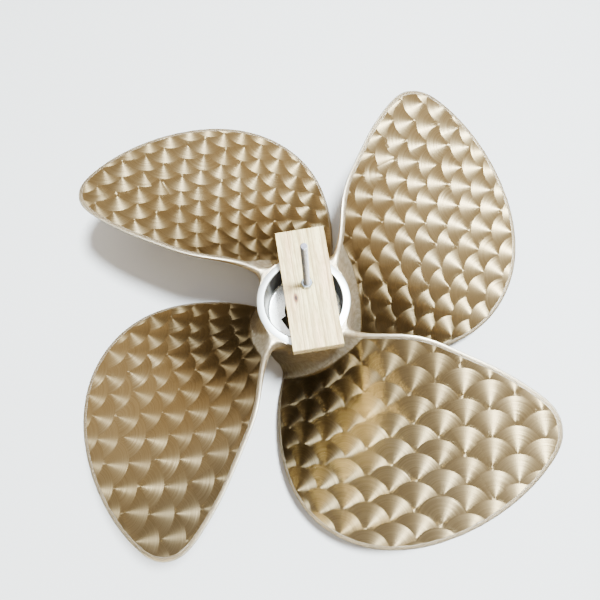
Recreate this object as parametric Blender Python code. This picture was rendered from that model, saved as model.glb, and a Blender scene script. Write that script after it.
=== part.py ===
"""Ship propeller: a right-handed four-blade bronze casting, with the wooden bar, threaded rod
and nut that are clamped on the hub's aft end. Metres, +Z along the shaft towards aft, origin at
the centre of the hub's forward face, +X through the first blade's tip."""
import math

import bmesh
import bpy
import numpy as np
from mathutils import Matrix

# Propeller
PROP_RADIUS = 0.3555
BLADE_COUNT = 4
PITCH = 0.7466                  # advance of the pressure face in one turn
HUB_LENGTH = 0.178
HUB_AFT_RADIUS = 0.0596         # outer radius at the aft end
HUB_FORWARD_RADIUS = 0.0665
HUB_EDGE = 0.002                # chamfer at both ends of the hub
HUB_SIDES = 96

# Hollows in the hub
RECESS_RADIUS = 0.0492
RECESS_DEPTH = 0.052
RECESS_EDGE = 0.0012
BORE_AFT_RADIUS = 0.0270        # small end of the taper, at the recess floor
BORE_FORWARD_RADIUS = 0.0309
BORE_SIDES = 64
KEYWAY_WIDTH = 0.0180
KEYWAY_DEPTH = 0.0058           # below the bore wall, all along the taper
KEYWAY_ANGLE = 250.0            # degrees from +X

# Blade outline: turning angle in degrees, clockwise seen from aft, of points spread evenly from
# the trailing edge at the root, round the tip, to the leading edge at the root.
OUTLINE_TURN = (3.0, -13.0, -15.5, -14.9, -13.6, -11.8, -8.3, -1.7,
                13.5, 32.4, 46.3, 56.7, 64.8, 72.9, 83.1)
OUTLINE_ROOT = 0.18             # radius where the outline starts, as a share of PROP_RADIUS
RAKE_AT_TENTHS = -0.0167        # height of the face's zero line at 0.7 radius, from the aft face
RAKE_SLOPE = -0.1113            # the zero line's slope towards the tip

# Blade thickness
ROOT_THICKNESS = 0.028
TIP_THICKNESS = 0.0055
EDGE_THICKNESS = 0.0036
SECTION_FULLNESS = 0.8          # below 1 the sections stay thick nearer their edges
ROOT_EDGE_EXTRA = 0.0045        # how much thicker the edges are at the root
ROOT_EDGE_POWER = 8             # the higher, the nearer to the root that starts
EDGE_ROUND = 0.0035             # width of the rounding along the outline
EDGE_COLUMNS = (0.0, 0.12, 0.42, 1.0)       # in widths of the rounding
FILLET_RADIUS = 0.018           # where the blade meets the hub
FILLET_STEPS = 5
FILLET_RISE = 0.009             # how far the fillet's top may stand above the aft face
FILLET_SOFTNESS = 0.006         # height over which the fillet's flat ends are rounded
NORMAL_PASSES = 2               # smoothing of the directions in which the fillet spreads
ROOT_SINK = 0.0050              # how deep the blade's root row lies in the hub wall
FACE_STEP = 0.0003              # root rows stop this far short of the aft face
FOOT_STEP = 0.0015              # and this far short of the forward face
TIP_ROWS = (0.035, 0.07, 0.11, 0.16, 0.22, 0.30)
SPAN_ROWS = 9
CHORD_COLUMNS = 12

# Clamp on the hub's aft end
BAR_LENGTH = 0.154
BAR_WIDTH = 0.062
BAR_THICKNESS = 0.021
BAR_CENTRE = (-0.0004, 0.0130)
BAR_ANGLE = 133.5
BAR_EDGE = 0.0012
BAR_HOLE_RADIUS = 0.0046
ROD_CENTRE = (-0.0041, 0.0148)
ROD_RADIUS = 0.0040
ROD_BOTTOM = 0.002
ROD_ABOVE_BAR = 0.130
ROD_EDGE = 0.0008
ROD_SIDES = 24
NUT_ACROSS_FLATS = 0.0130
NUT_HEIGHT = 0.0066
NUT_HOLE_RADIUS = 0.0043
NUT_TURN = 34.6                 # degrees from +X to one corner
NUT_CHAMFER_SLOPE = 0.6         # height of the corner chamfer for each millimetre it cuts in
TOUCH_GAP = 0.0003              # left between pieces that touch

CUT_PAST = 0.01                 # how far a cutter runs past the faces it cuts
SLIVER = 0.0001                 # keeps two cut faces from lying in one plane
MERGE = 0.00002


def clear_scene():
    for old in list(bpy.data.objects):
        bpy.data.objects.remove(old, do_unlink=True)


def material(name, color, metallic, roughness):
    made = bpy.data.materials.new(name)
    made.use_nodes = True
    shader = made.node_tree.nodes["Principled BSDF"]
    shader.inputs["Base Color"].default_value = (*color, 1.0)
    shader.inputs["Metallic"].default_value = metallic
    shader.inputs["Roughness"].default_value = roughness
    return made


def new_object(name, bm, made, smooth=False):
    bmesh.ops.recalc_face_normals(bm, faces=bm.faces[:])
    mesh = bpy.data.meshes.new(name)
    bm.to_mesh(mesh)
    bm.free()
    for polygon in mesh.polygons:
        polygon.use_smooth = smooth
    mesh.materials.append(made)
    item = bpy.data.objects.new(name, mesh)
    bpy.context.scene.collection.objects.link(item)
    return item


def natural_spline(values, at):
    """Natural cubic through evenly spaced values; at runs from 0 to len(values) - 1."""
    y = np.array(values, float)
    n = len(y)
    rows = np.eye(n)
    right = np.zeros(n)
    for i in range(1, n - 1):
        rows[i, i - 1:i + 2] = (1.0, 4.0, 1.0)
        right[i] = 6.0 * (y[i - 1] - 2.0 * y[i] + y[i + 1])
    second = np.linalg.solve(rows, right)
    i = int(min(max(math.floor(at), 0), n - 2))
    t = at - i
    u = 1.0 - t
    return (u * y[i] + t * y[i + 1]
            + ((u ** 3 - u) * second[i] + (t ** 3 - t) * second[i + 1]) / 6.0)


def outline_turn(share):
    """Turning angle in radians; share runs from -1, trailing root, over 0, tip, to 1."""
    middle = (len(OUTLINE_TURN) - 1) / 2
    return math.radians(natural_spline(OUTLINE_TURN, middle * (share + 1.0)))


def row_radius(share):
    return PROP_RADIUS * (OUTLINE_ROOT + (1 - OUTLINE_ROOT) * math.cos(math.pi * share / 2))


def hub_radius(z):
    part = min(max(z / HUB_LENGTH, 0.0), 1.0)
    return HUB_FORWARD_RADIUS + (HUB_AFT_RADIUS - HUB_FORWARD_RADIUS) * part


def face_height(radius, turn):
    """Height of the pressure face, which climbs PITCH in each counter-clockwise turn."""
    rake = RAKE_AT_TENTHS + RAKE_SLOPE * (radius - 0.7 * PROP_RADIUS)
    return HUB_LENGTH + rake - PITCH * turn / (2 * math.pi)


def rounding(share, across):
    """Share of the full thickness left by the rounding along the outline."""
    sine = max(math.sin(math.pi * share / 2), 1e-6)
    x = across * sine
    w = math.cos(math.pi * share / 2)
    turn = outline_turn(share) - outline_turn(-share)
    half = max(row_radius(share) * turn / 2, 1e-6) / sine
    tall = PROP_RADIUS * (1 - OUTLINE_ROOT)
    reach = math.hypot(x, w)
    slope = math.hypot(x / half, w / tall) / max(reach, 1e-9)
    inside = max(1.0 - reach, 0.0) / max(slope, 1e-9)
    if inside >= EDGE_ROUND:
        return 1.0
    left = 1.0 - inside / EDGE_ROUND
    return math.sqrt(max(1.0 - left * left, 0.0))


def columns(share):
    """Positions across the blade, -1 at the trailing edge to 1 at the leading edge."""
    turn = outline_turn(share) - outline_turn(-share)
    half = row_radius(share) * turn / 2
    step = min(EDGE_ROUND / max(half, 1e-6), 0.25)
    inner = [1.0 - 2.0 * i / CHORD_COLUMNS for i in range(1, CHORD_COLUMNS)]
    inner = [value * (1.0 - 2.2 * step) for value in inner]
    edge = [1.0 - part * step for part in EDGE_COLUMNS]
    return [-value for value in edge] + inner[::-1] + edge[::-1]


def section_row(share):
    """Face and back points of one blade row, as (turn, radius, height) triples."""
    radius = row_radius(share)
    low = outline_turn(-share)
    high = outline_turn(share)
    spread = (PROP_RADIUS - radius) / (PROP_RADIUS * (1 - OUTLINE_ROOT))
    thick = TIP_THICKNESS + (ROOT_THICKNESS - TIP_THICKNESS) * spread
    edge = EDGE_THICKNESS + ROOT_EDGE_EXTRA * spread ** ROOT_EDGE_POWER
    pitch_angle = math.atan2(PITCH, 2 * math.pi * radius)
    face = []
    back = []
    for across in columns(share):
        turn = low + (high - low) * (across + 1) / 2
        bulge = (1 - across * across) ** SECTION_FULLNESS
        full = edge + (thick - edge) * bulge
        half = 0.5 * full * rounding(share, across)
        for side, depth in ((face, full / 2 - half), (back, full / 2 + half)):
            slide = depth * math.sin(pitch_angle) / radius
            drop = depth * math.cos(pitch_angle)
            side.append((turn - slide, radius, face_height(radius, turn) - drop))
    return face, back


def share_at(radius):
    """The row whose radius this is, or the root row where the radius is smaller."""
    part = max(radius / PROP_RADIUS, OUTLINE_ROOT)
    return 2 / math.pi * math.acos((part - OUTLINE_ROOT) / (1 - OUTLINE_ROOT))


def section_ring(share):
    face, back = section_row(share)
    return face + back[-2:0:-1]


def unrolled(ring):
    """The ring laid flat: distance round the shaft against height."""
    return np.array([(radius * turn, height) for turn, radius, height in ring])


def flared(ring, out, rise):
    """The ring pushed outwards by out and laid at the height rise above the hub's wall."""
    base = ring[0][1]
    flat = unrolled(ring)
    step = np.roll(flat, -1, 0) - np.roll(flat, 1, 0)
    normal = np.stack([step[:, 1], -step[:, 0]], 1)
    normal /= np.maximum(np.hypot(normal[:, 0], normal[:, 1]), 1e-9)[:, None]
    for _ in range(NORMAL_PASSES):
        normal = 0.5 * normal + 0.25 * (np.roll(normal, 1, 0) + np.roll(normal, -1, 0))
        normal /= np.hypot(normal[:, 0], normal[:, 1])[:, None]
    return [(x / base, hub_radius(y) + rise, y) for x, y in flat + out * normal]


def soft_limit(value, low, high, softness):
    """Value kept between low and high, with the corners rounded over softness."""
    near = min(max(0.5 + 0.5 * (value - high) / softness, 0.0), 1.0)
    value = value * (1 - near) + high * near - softness * near * (1 - near)
    near = min(max(0.5 - 0.5 * (value - low) / softness, 0.0), 1.0)
    return value * (1 - near) + low * near + softness * near * (1 - near)


def blade_rings():
    """Closed rings of one blade, from the row next to the tip down to the row in the hub wall."""
    wall = hub_radius(HUB_LENGTH)
    first = TIP_ROWS[-1]
    last = share_at(wall + FILLET_RADIUS)
    shares = list(TIP_ROWS)
    shares += [first + (last - first) * (i + 1) / SPAN_ROWS for i in range(SPAN_ROWS)]
    rings = [section_ring(share) for share in shares]
    flat = unrolled(rings[-1])
    before = np.roll(flat, 1, 0)
    area = float(np.sum(before[:, 0] * flat[:, 1] - flat[:, 0] * before[:, 1]))
    sign = 1.0 if area > 0 else -1.0
    for i in range(1, FILLET_STEPS + 1):
        angle = math.pi / 2 * (1 - i / FILLET_STEPS)
        out = FILLET_RADIUS * (1 - math.sin(angle))
        rise = FILLET_RADIUS * (1 - math.cos(angle))
        roof = HUB_LENGTH - FACE_STEP + FILLET_RISE * (rise / FILLET_RADIUS) ** 2
        soft = FILLET_SOFTNESS * (1 - rise / FILLET_RADIUS)
        ring = flared(section_ring(share_at(wall + rise)), sign * out, rise)
        rings.append([(turn, radius, soft_limit(height, FOOT_STEP, roof, soft))
                      for turn, radius, height in ring])
    rings.append([(turn, radius - ROOT_SINK, height) for turn, radius, height in rings[-1]])
    return rings


def blade_object(index, made):
    """One blade as its own closed mesh; index 0 has its tip on +X."""
    tip_turn = outline_turn(0.0)
    start = 2 * math.pi * index / BLADE_COUNT + tip_turn

    def place(turn, radius, height):
        angle = start - turn
        return radius * math.cos(angle), radius * math.sin(angle), height

    bm = bmesh.new()
    rings = [[bm.verts.new(place(*point)) for point in ring] for ring in blade_rings()]
    count = len(rings[0])
    for upper, lower in zip(rings, rings[1:]):
        for i in range(count):
            j = (i + 1) % count
            bm.faces.new((upper[i], upper[j], lower[j], lower[i]))
    tip_drop = EDGE_THICKNESS / 2
    tip_height = face_height(PROP_RADIUS, tip_turn) - tip_drop
    tip = bm.verts.new(place(tip_turn, PROP_RADIUS, tip_height))
    for i in range(count):
        bm.faces.new((tip, rings[0][i], rings[0][(i + 1) % count]))
    inner = rings[-1]
    half = count // 2
    for i in range(half):
        quad = [inner[i], inner[i + 1], inner[(count - i - 1) % count], inner[(count - i) % count]]
        bm.faces.new(list(dict.fromkeys(quad)))
    return new_object("blade_%d" % index, bm, made)


def turned(name, profile, sides, made):
    """Solid of revolution about Z from (radius, height) points, open at the axis ends."""
    bm = bmesh.new()
    rings = []
    for radius, height in profile:
        ring = []
        for i in range(sides):
            angle = 2 * math.pi * i / sides
            ring.append(bm.verts.new((radius * math.cos(angle), radius * math.sin(angle), height)))
        rings.append(ring)
    for lower, upper in zip(rings, rings[1:]):
        for i in range(sides):
            j = (i + 1) % sides
            bm.faces.new((lower[i], lower[j], upper[j], upper[i]))
    bm.faces.new(rings[0][::-1])
    bm.faces.new(rings[-1])
    return new_object(name, bm, made)


def prism(name, corners, low, high, made):
    """Upright prism; corners(height) gives its outline at a height."""
    bm = bmesh.new()
    bottom = [bm.verts.new((x, y, low)) for x, y in corners(low)]
    top = [bm.verts.new((x, y, high)) for x, y in corners(high)]
    count = len(bottom)
    for i in range(count):
        j = (i + 1) % count
        bm.faces.new((bottom[i], bottom[j], top[j], top[i]))
    bm.faces.new(bottom[::-1])
    bm.faces.new(top)
    return new_object(name, bm, made)


def combine(target, other, operation):
    """Applies one Boolean step and drops the second solid."""
    step = target.modifiers.new("step", "BOOLEAN")
    step.operation = operation
    step.solver = "EXACT"
    step.object = other
    bpy.context.view_layer.update()
    graph = bpy.context.evaluated_depsgraph_get()
    result = bpy.data.meshes.new_from_object(target.evaluated_get(graph))
    target.modifiers.clear()
    old = target.data
    target.data = result
    bpy.data.meshes.remove(old)
    bpy.data.objects.remove(other, do_unlink=True)


def shade(item, limit):
    """Smooth shading with edges sharper than limit degrees kept."""
    mesh = item.data
    bm = bmesh.new()
    bm.from_mesh(mesh)
    bmesh.ops.remove_doubles(bm, verts=bm.verts[:], dist=MERGE)
    bmesh.ops.dissolve_degenerate(bm, edges=bm.edges[:], dist=MERGE)
    for face in bm.faces:
        face.smooth = True
    for edge in bm.edges:
        if len(edge.link_faces) == 2:
            edge.smooth = edge.calc_face_angle(0.0) < math.radians(limit)
    bm.to_mesh(mesh)
    bm.free()


def build_casting(bronze):
    casting = turned("propeller_casting", [
        (HUB_FORWARD_RADIUS - HUB_EDGE, 0.0),
        (HUB_FORWARD_RADIUS, HUB_EDGE),
        (HUB_AFT_RADIUS, HUB_LENGTH - HUB_EDGE),
        (HUB_AFT_RADIUS - HUB_EDGE, HUB_LENGTH),
    ], HUB_SIDES, bronze)
    for index in range(BLADE_COUNT):
        combine(casting, blade_object(index, bronze), "UNION")

    floor = HUB_LENGTH - RECESS_DEPTH
    taper = (BORE_FORWARD_RADIUS - BORE_AFT_RADIUS) / floor
    combine(casting, turned("recess_cutter", [
        (RECESS_RADIUS, floor),
        (RECESS_RADIUS, HUB_LENGTH - RECESS_EDGE),
        (RECESS_RADIUS + RECESS_EDGE + CUT_PAST, HUB_LENGTH + CUT_PAST),
    ], HUB_SIDES, bronze), "DIFFERENCE")
    combine(casting, turned("bore_cutter", [
        (BORE_FORWARD_RADIUS + taper * CUT_PAST, -CUT_PAST),
        (BORE_AFT_RADIUS - taper * CUT_PAST, floor + CUT_PAST),
    ], BORE_SIDES, bronze), "DIFFERENCE")

    angle = math.radians(KEYWAY_ANGLE)
    along = (math.cos(angle), math.sin(angle))

    def keyway_outline(height):
        outer = BORE_FORWARD_RADIUS - taper * height + KEYWAY_DEPTH
        inner = BORE_AFT_RADIUS / 2
        side = KEYWAY_WIDTH / 2
        corners = ((inner, -side), (outer, -side), (outer, side), (inner, side))
        return [(along[0] * a - along[1] * b, along[1] * a + along[0] * b) for a, b in corners]

    keyway = prism("keyway_cutter", keyway_outline, -CUT_PAST, floor + CUT_PAST, bronze)
    combine(casting, keyway, "DIFFERENCE")
    shade(casting, 32)
    return casting


def bar_outline(margin):
    """Corners of the wooden bar about the rod's axis, cut back by margin on every side."""
    angle = math.radians(BAR_ANGLE)
    along = (math.cos(angle), math.sin(angle))
    length = BAR_LENGTH / 2 - margin
    width = BAR_WIDTH / 2 - margin
    corners = ((-length, -width), (length, -width), (length, width), (-length, width))
    return [(BAR_CENTRE[0] - ROD_CENTRE[0] + along[0] * a - along[1] * b,
             BAR_CENTRE[1] - ROD_CENTRE[1] + along[1] * a + along[0] * b) for a, b in corners]


def build_bar(wood):
    low = HUB_LENGTH + TOUCH_GAP
    high = low + BAR_THICKNESS
    bm = bmesh.new()
    rings = []
    levels = ((low, BAR_EDGE), (low + BAR_EDGE, 0.0), (high - BAR_EDGE, 0.0), (high, BAR_EDGE))
    for height, margin in levels:
        rings.append([bm.verts.new((x, y, height)) for x, y in bar_outline(margin)])
    for lower, upper in zip(rings, rings[1:]):
        for i in range(4):
            j = (i + 1) % 4
            bm.faces.new((lower[i], lower[j], upper[j], upper[i]))
    bm.faces.new(rings[0][::-1])
    bm.faces.new(rings[-1])
    bar = new_object("clamp_bar", bm, wood)
    hole = turned("hole_cutter", [
        (BAR_HOLE_RADIUS, low - CUT_PAST),
        (BAR_HOLE_RADIUS, high + CUT_PAST),
    ], ROD_SIDES, wood)
    combine(bar, hole, "DIFFERENCE")
    shade(bar, 25)
    return bar


def build_rod(zinc):
    top = HUB_LENGTH + TOUCH_GAP + BAR_THICKNESS + ROD_ABOVE_BAR
    rod = turned("threaded_rod", [
        (ROD_RADIUS - ROD_EDGE, ROD_BOTTOM),
        (ROD_RADIUS, ROD_BOTTOM + ROD_EDGE),
        (ROD_RADIUS, top - ROD_EDGE),
        (ROD_RADIUS - ROD_EDGE, top),
    ], ROD_SIDES, zinc)
    shade(rod, 30)
    return rod


def build_nut(zinc):
    low = HUB_LENGTH + TOUCH_GAP + BAR_THICKNESS + TOUCH_GAP
    high = low + NUT_HEIGHT
    corner = NUT_ACROSS_FLATS / math.sqrt(3)
    cut = corner - NUT_ACROSS_FLATS / 2
    nut = turned("hex_nut", [(corner, low), (corner, high)], 6, zinc)
    nut.data.transform(Matrix.Rotation(math.radians(NUT_TURN), 4, "Z"))
    cone = turned("cone_cutter", [
        (corner - cut, low - SLIVER),
        (corner + SLIVER, low + cut * NUT_CHAMFER_SLOPE),
        (corner + SLIVER, high - cut * NUT_CHAMFER_SLOPE),
        (corner - cut, high + SLIVER),
    ], 2 * ROD_SIDES, zinc)
    combine(nut, cone, "INTERSECT")
    hole = turned("hole_cutter", [
        (NUT_HOLE_RADIUS, low - CUT_PAST),
        (NUT_HOLE_RADIUS, high + CUT_PAST),
    ], ROD_SIDES, zinc)
    combine(nut, hole, "DIFFERENCE")
    shade(nut, 20)
    return nut


def main():
    clear_scene()
    bronze = material("cast_bronze", (0.55, 0.40, 0.22), 1.0, 0.30)
    wood = material("pale_softwood", (0.78, 0.66, 0.46), 0.0, 0.65)
    zinc = material("zinc_plated_steel", (0.62, 0.64, 0.66), 1.0, 0.35)
    build_casting(bronze)
    axis = bpy.data.objects.new("clamp_axis", None)
    axis.location = (ROD_CENTRE[0], ROD_CENTRE[1], 0.0)
    bpy.context.scene.collection.objects.link(axis)
    for piece in (build_bar(wood), build_rod(zinc), build_nut(zinc)):
        piece.parent = axis


main()
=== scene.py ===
import math

import bmesh
import bpy
import numpy as np
from mathutils import Matrix, Vector


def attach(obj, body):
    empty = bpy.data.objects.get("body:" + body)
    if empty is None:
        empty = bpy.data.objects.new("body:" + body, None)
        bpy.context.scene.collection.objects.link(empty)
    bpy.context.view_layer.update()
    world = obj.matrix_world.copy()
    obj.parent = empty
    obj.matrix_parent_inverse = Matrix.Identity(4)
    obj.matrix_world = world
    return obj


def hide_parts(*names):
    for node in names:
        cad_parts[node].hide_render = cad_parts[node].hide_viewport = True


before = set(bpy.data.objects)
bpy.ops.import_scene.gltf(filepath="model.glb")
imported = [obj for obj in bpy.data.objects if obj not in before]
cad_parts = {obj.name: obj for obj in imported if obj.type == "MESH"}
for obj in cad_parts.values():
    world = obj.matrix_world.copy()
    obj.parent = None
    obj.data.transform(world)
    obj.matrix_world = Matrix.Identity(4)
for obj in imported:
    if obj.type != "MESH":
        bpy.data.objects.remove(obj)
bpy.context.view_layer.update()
print("frame loaded:", sorted(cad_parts))


def newObject(name, verts, faces, materials, sharpAngle=30.0, origin=(0, 0, 0), turn=0.0):
    mesh = bpy.data.meshes.new(name)
    mesh.from_pydata([tuple(v) for v in verts], [], [tuple(f) for f in faces])
    for material in materials:
        mesh.materials.append(material)
    item = bpy.data.objects.new(name, mesh)
    bpy.context.scene.collection.objects.link(item)
    item.location = origin
    item.rotation_euler = (0, 0, turn)
    markSharp(mesh, sharpAngle)
    return item


def markSharp(mesh, sharpAngle):  # smooth all over, apart from edges sharper than the angle
    bm = bmesh.new()
    bm.from_mesh(mesh)
    bmesh.ops.recalc_face_normals(bm, faces=bm.faces[:])
    for face in bm.faces:
        face.smooth = True
    for edge in bm.edges:
        if len(edge.link_faces) == 2:
            edge.smooth = edge.calc_face_angle(0.0) < math.radians(sharpAngle)
    bm.to_mesh(mesh)
    bm.free()


def evenAngles(sides, start=0.0):
    return 2 * np.pi * (np.arange(sides) + start) / sides


def circle(radius, z, angles, centre=(0.0, 0.0)):
    return np.stack([centre[0] + radius * np.cos(angles), centre[1] + radius * np.sin(angles),
                     z + 0.0 * angles], 1)


def bandFaces(count, sides, closed=False):  # quads between the rings of a stack
    faces = []
    for k in range(count if closed else count - 1):
        a, b = k * sides, (k + 1) % count * sides
        for i in range(sides):
            j = (i + 1) % sides
            faces.append((a + i, a + j, b + j, b + i))
    return faces


class Nodes:  # short calls that build a node tree
    def __init__(self, tree):
        self.tree = tree

    def add(self, kind, inputs=None, **settings):
        node = self.tree.nodes.new(kind)
        for key, value in settings.items():
            setattr(node, key, value)
        return self.set(node, inputs or {})

    def set(self, node, inputs):
        for key, value in inputs.items():
            self.feed(node.inputs[key], value)
        return node

    def feed(self, socket, value):  # links a socket, or sets a number or a colour
        if hasattr(value, "is_linked"):
            self.tree.links.new(value, socket)
        else:
            socket.default_value = (*value, 1.0) if socket.type == "RGBA" else value

    def math(self, operation, a, b=None, c=None):
        node = self.add("ShaderNodeMath", operation=operation)
        for socket, value in zip(node.inputs, (a, b, c)):
            if value is not None:
                self.feed(socket, value)
        return node.outputs[0]

    def plus(self, a, b):
        return self.math("ADD", a, b)

    def minus(self, a, b):
        return self.math("SUBTRACT", a, b)

    def times(self, a, b):
        return self.math("MULTIPLY", a, b)

    def over(self, a, b):
        return self.math("DIVIDE", a, b)

    def scaled(self, value, size, start):  # start plus the value at that size
        return self.math("MULTIPLY_ADD", value, size, start)

    def swing(self, value, spread):  # a 0 to 1 value, made to swing evenly about nought
        return self.scaled(value, spread, -spread / 2)

    def length(self, x, y):
        return self.math("SQRT", self.plus(self.times(x, x), self.times(y, y)))

    def along(self, parts, toward):  # how far a place or direction lies along a fixed one
        total = self.times(parts[0], toward[0])
        for k in range(1, len(toward)):
            total = self.plus(total, self.times(parts[k], toward[k]))
        return total

    def mix(self, share, a, b):
        return self.add("ShaderNodeMix", {0: share, 2: a, 3: b}, data_type="FLOAT", clamp_factor=False).outputs[0]

    def mixColor(self, share, a, b, blend="MIX"):
        return self.add("ShaderNodeMix", {0: share, 6: a, 7: b}, data_type="RGBA", blend_type=blend).outputs[2]

    def noise(self, vector, scale, detail=2.0, roughness=0.5):
        return self.add("ShaderNodeTexNoise", {"Vector": vector, "Scale": scale, "Detail": detail,
                                               "Roughness": roughness}).outputs[0]

    def stretched(self, parts, scales, detail, roughness=0.5):  # noise with its own scale each way
        return self.noise(self.xyz(*(self.times(part, scale) for part, scale in zip(parts, scales))),
                          1.0, detail, roughness)

    def remap(self, value, low, high, newLow=0.0, newHigh=1.0, smooth=False):
        node = self.add("ShaderNodeMapRange", clamp=True)
        if smooth:
            node.interpolation_type = "SMOOTHSTEP"
        for socket, item in zip(node.inputs, (value, low, high, newLow, newHigh)):
            self.feed(socket, item)
        return node.outputs[0]

    def xyz(self, x, y, z=0.0):
        return self.add("ShaderNodeCombineXYZ", {0: x, 1: y, 2: z}).outputs[0]

    def split(self, vector):
        return self.add("ShaderNodeSeparateXYZ", {0: vector}).outputs

    def place(self):
        return self.add("ShaderNodeTexCoord").outputs["Object"]

    def attribute(self, name, output="Fac"):
        return self.add("ShaderNodeAttribute", attribute_name=name).outputs[output]

    def bump(self, shader, height, strength, distance):
        node = self.add("ShaderNodeBump", {"Height": height, "Strength": strength, "Distance": distance})
        self.set(shader, {"Normal": node.outputs[0]})


def newMaterial(name):
    material = bpy.data.materials.new(name)
    material.use_nodes = True
    return material, Nodes(material.node_tree), material.node_tree.nodes["Principled BSDF"]


propeller = {
    "radius": 0.3555,
    "blades": 4,
    "pitch": 0.7466,
    "hubLength": 0.178,
    "hubAftRadius": 0.0596,
    "hubForwardRadius": 0.0665,
    "hubEdge": 0.002,
    "hubEdgeShoulder": 0.3,  # share of the edge that its middle ring stands in by
    "hubRows": 20,
    "hubSides": 192,
    "recessRadius": 0.0492,
    "recessDepth": 0.052,
    "recessEdge": 0.0012,
    "recessCorner": 0.0025,
    "recessRows": 8,
    "recessCornerRows": 6,
    "recessFloorRing": 0.002,  # how far the floor's middle ring lies out from half way
    "boreAftRadius": 0.0270,
    "boreForwardRadius": 0.0309,
    "boreRows": 6,
    "keywayWidth": 0.0180,
    "keywayDepth": 0.0058,
    "keywayAngle": 250.0,
    "keywaySteps": (16, 6),  # points across its floor and up each of its walls
    "outlineTurn": (3.0, -13.0, -15.5, -14.9, -13.6, -11.8, -8.3, -1.7,
                    13.5, 32.4, 46.3, 56.7, 64.8, 72.9, 83.1),  # degrees, edge to edge over the tip
    "outlineRoot": 0.18,
    "rakeAtTenths": -0.0167,  # drop of the face at 0.7 of the radius
    "rakeSlope": -0.1113,
    "rootThickness": 0.028,
    "tipThickness": 0.0055,
    "edgeThickness": 0.0036,
    "rootEdgeExtra": 0.0045,
    "rootEdgePower": 8,
    "fullness": 0.8,  # power of the section's swelling from edge to edge
    "edgeRound": 0.0035,
    "edgeSteps": (0.0, 0.02, 0.06, 0.12, 0.2, 0.3, 0.42, 0.56, 0.72, 0.9, 1.1, 1.35, 1.7),
    "edgeZone": 2.4,  # steps that the inner columns stay clear of the edge
    "widestEdgeStep": 0.25,
    "filletRadius": 0.018,
    "filletSteps": 14,
    "filletRise": 0.009,
    "filletRoof": 0.0003,  # how far the fillet stays under the aft face
    "filletFloor": 0.0015,
    "softness": 0.006,
    "rootSink": 0.0030,
    "tipRows": (0.008, 0.016, 0.026, 0.038, 0.052, 0.068, 0.086, 0.106, 0.13, 0.157, 0.187, 0.22),
    "spanRows": 52,
    "chordColumns": 30,
    "sharpAngle": 33.0,
}


def naturalSpline(values, at):
    y = np.array(values, float)
    n = len(y)
    rows = np.eye(n)
    right = np.zeros(n)
    for i in range(1, n - 1):
        rows[i, i - 1:i + 2] = (1.0, 4.0, 1.0)
        right[i] = 6.0 * (y[i - 1] - 2.0 * y[i] + y[i + 1])
    second = np.linalg.solve(rows, right)
    i = np.clip(np.floor(at).astype(int), 0, n - 2)
    t = at - i
    u = 1.0 - t
    return u * y[i] + t * y[i + 1] + ((u ** 3 - u) * second[i] + (t ** 3 - t) * second[i + 1]) / 6.0


def outlineTurn(share):  # share is -1 at one edge's root, 0 at the tip, 1 at the other
    middle = (len(propeller["outlineTurn"]) - 1) / 2
    at = middle * (np.asarray(share, float) + 1.0)
    return np.radians(naturalSpline(propeller["outlineTurn"], at))


def rowRadius(share):
    root = propeller["outlineRoot"]
    return propeller["radius"] * (root + (1 - root) * np.cos(np.pi * share / 2))


def rowShare(radius):  # the share whose row lies at a radius
    root = propeller["outlineRoot"]
    return 2 / math.pi * math.acos((radius / propeller["radius"] - root) / (1 - root))


def hubRadius(z):
    part = np.clip(z / propeller["hubLength"], 0.0, 1.0)
    low, high = propeller["hubForwardRadius"], propeller["hubAftRadius"]
    return low + (high - low) * part


def faceHeight(radius, turn):  # the pressed face is a helix with a little rake
    rake = propeller["rakeAtTenths"] + propeller["rakeSlope"] * (radius - 0.7 * propeller["radius"])
    return propeller["hubLength"] + rake - propeller["pitch"] * turn / (2 * math.pi)


def rowHalf(share):  # half the width of a row, along its arc
    turn = float(outlineTurn(share) - outlineTurn(-share))
    return float(rowRadius(share)) * turn / 2


def insideEdge(share, across):  # rough distance from the outline
    sine = max(math.sin(math.pi * share / 2), 1e-6)
    x = across * sine
    w = math.cos(math.pi * share / 2)
    half = max(rowHalf(share), 1e-6) / sine
    tall = propeller["radius"] * (1 - propeller["outlineRoot"])
    reach = np.hypot(x, w)
    slope = np.hypot(x / half, w / tall) / np.maximum(reach, 1e-9)
    return np.maximum(1.0 - reach, 0.0) / np.maximum(slope, 1e-9)


def chordColumns(share):  # columns from edge to edge, close together at the edges
    p = propeller
    step = min(p["edgeRound"] / max(rowHalf(share), 1e-6), p["widestEdgeStep"])
    n = p["chordColumns"]
    inner = np.array([1.0 - 2.0 * i / n for i in range(1, n)]) * (1.0 - p["edgeZone"] * step)
    edge = 1.0 - step * np.array(p["edgeSteps"])
    return np.concatenate([-edge, inner[::-1], edge[::-1]])


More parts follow.
